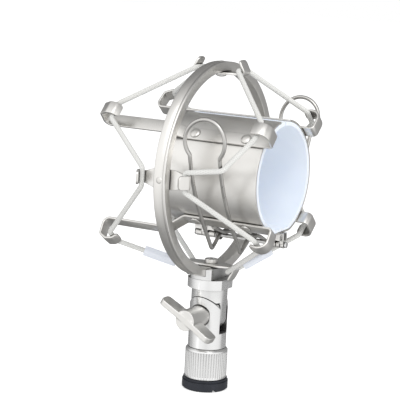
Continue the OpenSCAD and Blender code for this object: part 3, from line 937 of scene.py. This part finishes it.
def hinge_rod():
    """Hinge pin with a rounded head at both ends."""
    head = [
        (0, 0.5), (0.05, PIN_HEAD_R - 0.25), (0.2, PIN_HEAD_R),
        (0.55, PIN_HEAD_R), (0.7, PIN_HEAD_R - 0.15), (0.72, PIN_R),
    ]
    front, rear = PIN_ENDS
    profile = [(front + d, r) for d, r in head] + [(rear - d, r) for d, r in reversed(head)]
    shape = Shape().skin(hung_rings(turned(profile, (0, 0, HINGE_Z), Y, (0, 0, 1), 32)))
    make("hinge_rod", shape, chrome, "cradle", ["hinge_pin"], 30)


def hinge_spring():
    """Torsion spring of two and a half turns round the pin."""
    coil_r, wire_r, start, pitch = 2.0, 0.4, -1.5, 0.8
    coil = []
    for a in range(0, 901, 10):
        turn = math.radians(90 - a)
        y = start - pitch * a / 360
        coil.append(hung((coil_r * math.cos(turn), y, HINGE_Z + coil_r * math.sin(turn))))
    shape = Shape().skin(tube_rings(coil, wire_r, 12))
    make("hinge_spring", shape, steel, "cradle", ["torsion_spring"])


hinge_rod()
hinge_spring()

# ---- wire handles ----

HANDLE_Y = -15.5
LEG_SIDE = 7.5  # the legs' distance from the handle's middle
LEG_OUT = 14  # a leg's distance from the sleeve's middle at its foot
LEG_BOW = 31.5  # how much further out it bows
LEG_CURL = 1.45  # degrees of that bow in a millimetre of height
LEG_LEAN = 0.075
LEG_TOP = 42
EYE_H = 51.7  # height of the finger eye's centre over the hinge
EYE_R = 10


def handle_at(h, off):
    """A point of the left handle at a height over the hinge; the wire bows round the sleeve."""
    bow = math.radians(min(90, LEG_CURL * (h + 3.4)))
    x = LEG_OUT + LEG_BOW * math.sin(bow)
    return Vector((-x, HANDLE_Y - LEG_LEAN * (h + 3) + off, HINGE_Z + h))


def under_shell(x):
    """Height of a wire that runs just under the round wall of the shell."""
    return CENTRE_Z - math.sqrt((SHELL_R + WIRE_R + 0.12) ** 2 - x * x)


def foot(s, shift):
    """A wire's end, from its weld under the far half, past the hinge and out to its leg."""
    y = HANDLE_Y + s * LEG_SIDE + 2 + shift
    over_pin = HINGE_Z + PIN_R + WIRE_R
    return [
        Vector((13, y, under_shell(13))),
        Vector((10.5, y, under_shell(10.5))),
        Vector((8, y, under_shell(8))),
        Vector((3, y, over_pin + 0.3)),
        Vector((-3, y, over_pin - 0.1)),
        Vector((-11.6, y - 1, HINGE_Z - 3.4)),
        Vector((-13.8, y - 1.6, HINGE_Z - 3.3)),
    ]


def leg(s, shift):
    """One side of a handle, from its foot to the eye."""
    return [
        handle_at(h, s * LEG_SIDE + shift * (1 - h / LEG_TOP)) for h in range(0, LEG_TOP + 1, 7)
    ]


def handle_points(shift):
    """The whole wire: foot, leg, eye, leg and foot."""
    eye = []
    for a in range(-42, 223, 8):
        turn = math.radians(a)
        eye.append(handle_at(EYE_H + EYE_R * math.sin(turn), EYE_R * math.cos(turn)))
    pts = foot(1, shift) + leg(1, shift) + eye + leg(-1, shift)[::-1] + foot(-1, shift)[::-1]
    return spaced(soften(pts, 2.5, 5), 0.8)


def weld_rings(end):
    """Low bead over a wire's end, between the wire and the shell."""
    half_length = 2.6
    rings = []
    for i in range(15):
        a = math.radians(180 * i / 14)
        r = max(0.02, math.sin(a)) * 1.5
        x = end.x - 1.3 - half_length * math.cos(a)
        middle = Vector((x, end.y, under_shell(x) + 0.35))
        rings.append([middle + Vector((0, u, v * 0.6)) for u, v in circle(r, 16)])
    return rings


def handle(name, shift, flip, body):
    """One squeeze handle; flip -1 mirrors it to the right side."""

    def mirrored(points):
        return [Vector((flip * p.x, p.y, p.z)) for p in points]

    path = [hung(p) for p in mirrored(handle_points(shift))]
    shape = Shape().skin(tube_rings(path, WIRE_R, 18))
    for s in (1, -1):
        rings = [mirrored(ring) for ring in weld_rings(foot(s, shift)[0])]
        shape.skin(hung_rings(rings))
    make(name + "_wire", shape, wire, body, [name])


handle("handle_left", 1, 1, "sleeve_right")
handle("handle_right", -1, -1, "sleeve_left")

# ---- elastic cords ----

CORD_SIDES = 16
CORD_STEP = 0.55
YARNS = 4  # yarns of each hand round the cord
BRAID_TURN = 1.6  # how far they turn in one step
OVERLAP = 0.02  # the two pieces of a span run into each other by this much

# where the front cord bends over the left handle's leg
OVER_LEG = handle_at(40.5, -LEG_SIDE)
OVER_LEG += Vector((-0.66, -0.7, -0.28)).normalized() * (WIRE_R + CORD_R + 0.4)


def seat(angle, side, place):
    """The cord's middle in a hook; place is its distance along Y and from the sleeve axis."""
    return CENTRE + outward(angle) * place[1] + across(angle) * side + Y * place[0]


def cord_piece(name, pts, node):
    """One length of braided cord, bent along its path between two bodies; it is attached to neither.
    """
    pts = spaced(soften(pts, 1.2, 5), CORD_STEP)
    rings = []
    for i, p in enumerate(pts):
        t = (pts[min(i + 1, len(pts) - 1)] - pts[max(i - 1, 0)]).normalized()
        out = Vector((p.x, 0, p.z - CENTRE_Z))
        u = (out - t * out.dot(t)).normalized()
        v = t.cross(u)
        ring = []
        for k in range(CORD_SIDES):
            a = 2 * math.pi * k / CORD_SIDES
            run = BRAID_TURN * i
            lump = max(math.sin(YARNS * a + run), math.sin(YARNS * a - run))
            r = CORD_R * (0.985 + 0.012 * lump)
            ring.append(p + (u * math.cos(a) + v * math.sin(a)) * r)
        rings.append(ring)
    shape = Shape().skin(rings, uv_scale=0.42)
    ob = make(name, shape, braid, None, [node], 70)
    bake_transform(ob)


def cord(node, visits, held=()):
    """A whole loop of eight spans, each in a ring half and a sleeve half.

    The held spans pass over the left handle's leg on their way.
    """
    stops = []
    for half, angle, place in visits:
        ends = [seat(angle, side * SEAT_SIDE, place) for side in (-1, 1)]
        stops.append((half, ends if half == "ring" else [hung(p) for p in ends]))
    for i, stop in enumerate(stops):
        after = stops[(i + 1) % len(stops)]
        # in a hook the cord comes in at the first end and leaves at the second
        if stop[0] == "ring":
            (_, (ring_in, near)), (half, (far, sleeve_out)) = stop, after
            ring_mid, sleeve_mid = (ring_in + near) / 2, (far + sleeve_out) / 2
        else:
            (half, (sleeve_in, far)), (_, (near, ring_out)) = stop, after
            ring_mid, sleeve_mid = (near + ring_out) / 2, (sleeve_in + far) / 2
        step = (far - near).normalized() * OVERLAP
        if i in held:
            turn = hung(OVER_LEG)
            middle = near.lerp(turn, 0.72)
            sleeve_run = [middle, turn, far, sleeve_mid]
        else:
            middle = (near + far) / 2
            sleeve_run = [middle, far, sleeve_mid]
        ring_run = [ring_mid, near, middle + step]
        name = f"{node}_span_{i + 1}"
        cord_piece(name + "_ring_half", ring_run, node)
        cord_piece(name + "_sleeve_half", sleeve_run, node)


def hooks(ring_at, upper_at, lower_at):
    """Hooks in the order the cord visits them: body, angle and place."""
    return [
        ("ring", 90, ring_at),
        ("left", 180 - UPPER, upper_at),
        ("ring", 180, ring_at),
        ("left", 180 + LOWER, lower_at),
        ("ring", 270, ring_at),
        ("right", -LOWER, lower_at),
        ("ring", 0, ring_at),
        ("right", UPPER, upper_at),
    ]


FRONT_RING_SEAT = (-RING_SEAT[0], RING_SEAT[1])
cord("cord_front", hooks(FRONT_RING_SEAT, FRONT_SEAT, FRONT_SEAT), held=(1,))
cord("cord_rear", hooks(RING_SEAT, rear_seat(UPPER_LIFT), rear_seat(LOWER_LIFT)))


def tag(name, p, q, start, end):
    """A folded fabric tag round a straight run of cord; its free edges wave a little."""
    d = (q - p).normalized()
    side = d.cross(Vector((0, 0, 1))).normalized()
    up = side.cross(d)
    half_h, fold_r, steps = 2.5, CORD_R + 0.3, 40
    edge = [(0.5, 1.9), (0.22, half_h - 0.1), (0.1, half_h)]
    outline = arc(0, 0, fold_r, 50, -50, 6)
    outline += [(u, -v) for u, v in edge] + [(-u, -v) for u, v in reversed(edge)]
    outline += arc(0, 0, fold_r, 230, 130, 6)
    outline += [(-u, v) for u, v in edge] + list(reversed(edge))
    rings = []
    for i in range(steps + 1):
        t = i / steps
        at = p + d * (start + (end - start) * t)
        wave = 0.12 * math.sin(9 * t) + 0.05 * math.sin(23 * t + 1)
        shrink = 1 - 0.06 * (2 * t - 1) ** 8
        rings.append([
            at + side * (u + wave * (v / half_h) ** 2) + up * v * shrink for u, v in outline
        ])
    ob = make(name + "_fold", Shape().skin(rings), fabric, None, [name], 60)
    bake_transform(ob)


def tags():
    """One tag on each cord, on the spans from the ring's bottom hook to the lower arms."""
    front_hook = hung(seat(-LOWER, -SEAT_SIDE, FRONT_SEAT))
    rear_hook = hung(seat(180 + LOWER, SEAT_SIDE, rear_seat(LOWER_LIFT)))
    tag("cord_tag_front", seat(270, SEAT_SIDE, FRONT_RING_SEAT), front_hook, 4, 19)
    tag("cord_tag_rear", seat(270, -SEAT_SIDE, RING_SEAT), rear_hook, 5, 21)


tags()

# ---- camera ----


def make_camera(azimuth, elevation, roll, distance, lens, target):
    """A camera that looks at a target from a direction, rolled about its view."""
    az, el, turn = (math.radians(v) for v in (azimuth, elevation, roll))
    back = Vector((math.sin(az) * math.cos(el), -math.cos(az) * math.cos(el), math.sin(el)))
    level = Vector((math.cos(az), math.sin(az), 0))
    above = back.cross(level)
    right = level * math.cos(turn) + above * math.sin(turn)
    up = above * math.cos(turn) - level * math.sin(turn)
    camera = bpy.data.objects.new("camera", bpy.data.cameras.new("camera"))
    bpy.context.scene.collection.objects.link(camera)
    stand = Matrix((right, up, back)).transposed().to_4x4()
    stand.translation = Vector(target) + back * distance
    camera.matrix_world = stand
    camera.data.lens = lens
    camera.data.clip_start = 0.05
    camera.data.clip_end = 30
    bpy.context.scene.camera = camera


make_camera(
    azimuth=-59.94,
    elevation=9.47,
    roll=2.97,
    distance=0.699,
    lens=134.8,
    target=(-0.00339, 0.00585, 0.08974),
)

# ---- studio ----

bpy.context.scene.view_settings.view_transform = "Standard"

MIDDLE = Vector((0, 0, 0.09))  # what the lights face, in metres
GLOW = 0.38  # what the metal sees all round
WASH = 0.84  # soft light on everything from all round
# Soft areas the metal sees: direction, cosines where one starts and is full, light it adds
AREAS = [
    ((-0.90, 0.28, 0.28), 0.15, 1.0, 0.85),
    ((-0.20, -0.96, -0.10), 0.5, 0.95, 0.72),
    ((0.70, 0.49, 0.52), 0.55, 0.98, -0.14),
    ((0.25, 0.40, -0.88), 0.50, 1.00, -0.12),
]


def studio_world():
    """White to the camera; metal sees a soft grey studio, bright on two sides."""
    world = bpy.data.worlds.new("studio")
    bpy.context.scene.world = world
    n = Nodes(world)
    n.tree.nodes.clear()
    view = n.new("ShaderNodeTexCoord").outputs["Generated"]
    glow = GLOW
    for direction, start, full, amount in AREAS:
        dot = n.new("ShaderNodeVectorMath", operation="DOT_PRODUCT")
        n.link(view, dot.inputs[0])
        dot.inputs[1].default_value = Vector(direction).normalized()
        area = n.spread(dot.outputs["Value"], 0, amount, start, full, "SMOOTHSTEP")
        glow = n.maths("ADD", area, glow)
    path = n.new("ShaderNodeLightPath")
    glossy = n.maths("MULTIPLY", path.outputs["Is Glossy Ray"], glow)
    diffuse = n.maths("MULTIPLY", path.outputs["Is Diffuse Ray"], WASH)
    light = n.maths("ADD", glossy, diffuse)
    background = n.new("ShaderNodeBackground")
    background.inputs["Color"].default_value = (1, 1, 1, 1)
    total = n.maths("ADD", light, path.outputs["Is Camera Ray"])
    n.link(total, background.inputs["Strength"])
    out = n.new("ShaderNodeOutputWorld")
    n.link(background.outputs[0], out.inputs[0])


studio_world()


def floor():
    """Pale floor: near white to the camera, with a soft contact shadow."""
    half, cells, depth = 4000, 8, -0.02
    places = [half * (2 * i / cells - 1) for i in range(cells + 1)]
    pts = [Vector((x, y, depth)) for x in places for y in places]
    faces = []
    row = cells + 1
    for i in range(cells):
        for j in range(cells):
            a = i * row + j
            faces.append([a, a + row, a + row + 1, a + 1])
    n = Finish("floor_paper")
    n.set("Roughness", 1.0)
    n.set("Specular IOR Level", 0.0)
    tone = n.mix(n.spread(n.noise(30), 0, 1), (0.90, 0.90, 0.90), (0.92, 0.92, 0.92))
    n.set("Base Color", tone)
    seen = n.new("ShaderNodeLightPath").outputs["Is Camera Ray"]
    n.set("Emission Color", (1, 1, 1, 1))
    n.set("Emission Strength", n.maths("MULTIPLY", seen, 0.42))
    ob = make("floor", Shape().add(pts, faces), n.mat)
    ob.visible_glossy = False


floor()


def soft_light(name, place, size, power, glossy):
    """A square light that faces the object; glossy ones show in the metal."""
    data = bpy.data.lights.new(name, "AREA")
    data.shape = "SQUARE"
    data.size = size
    data.energy = power
    ob = bpy.data.objects.new(name, data)
    bpy.context.scene.collection.objects.link(ob)
    ob.location = place
    ob.rotation_euler = (MIDDLE - Vector(place)).to_track_quat("-Z", "Y").to_euler()
    ob.visible_glossy = glossy
    ob.visible_camera = False


soft_light("key", (-0.7, -0.5, 0.9), 1.1, 4, True)
soft_light("spark", (-0.7, -0.35, 0.9), 0.25, 0.8, True)
soft_light("fill", (0.5, -0.9, 0.5), 0.8, 1.5, False)
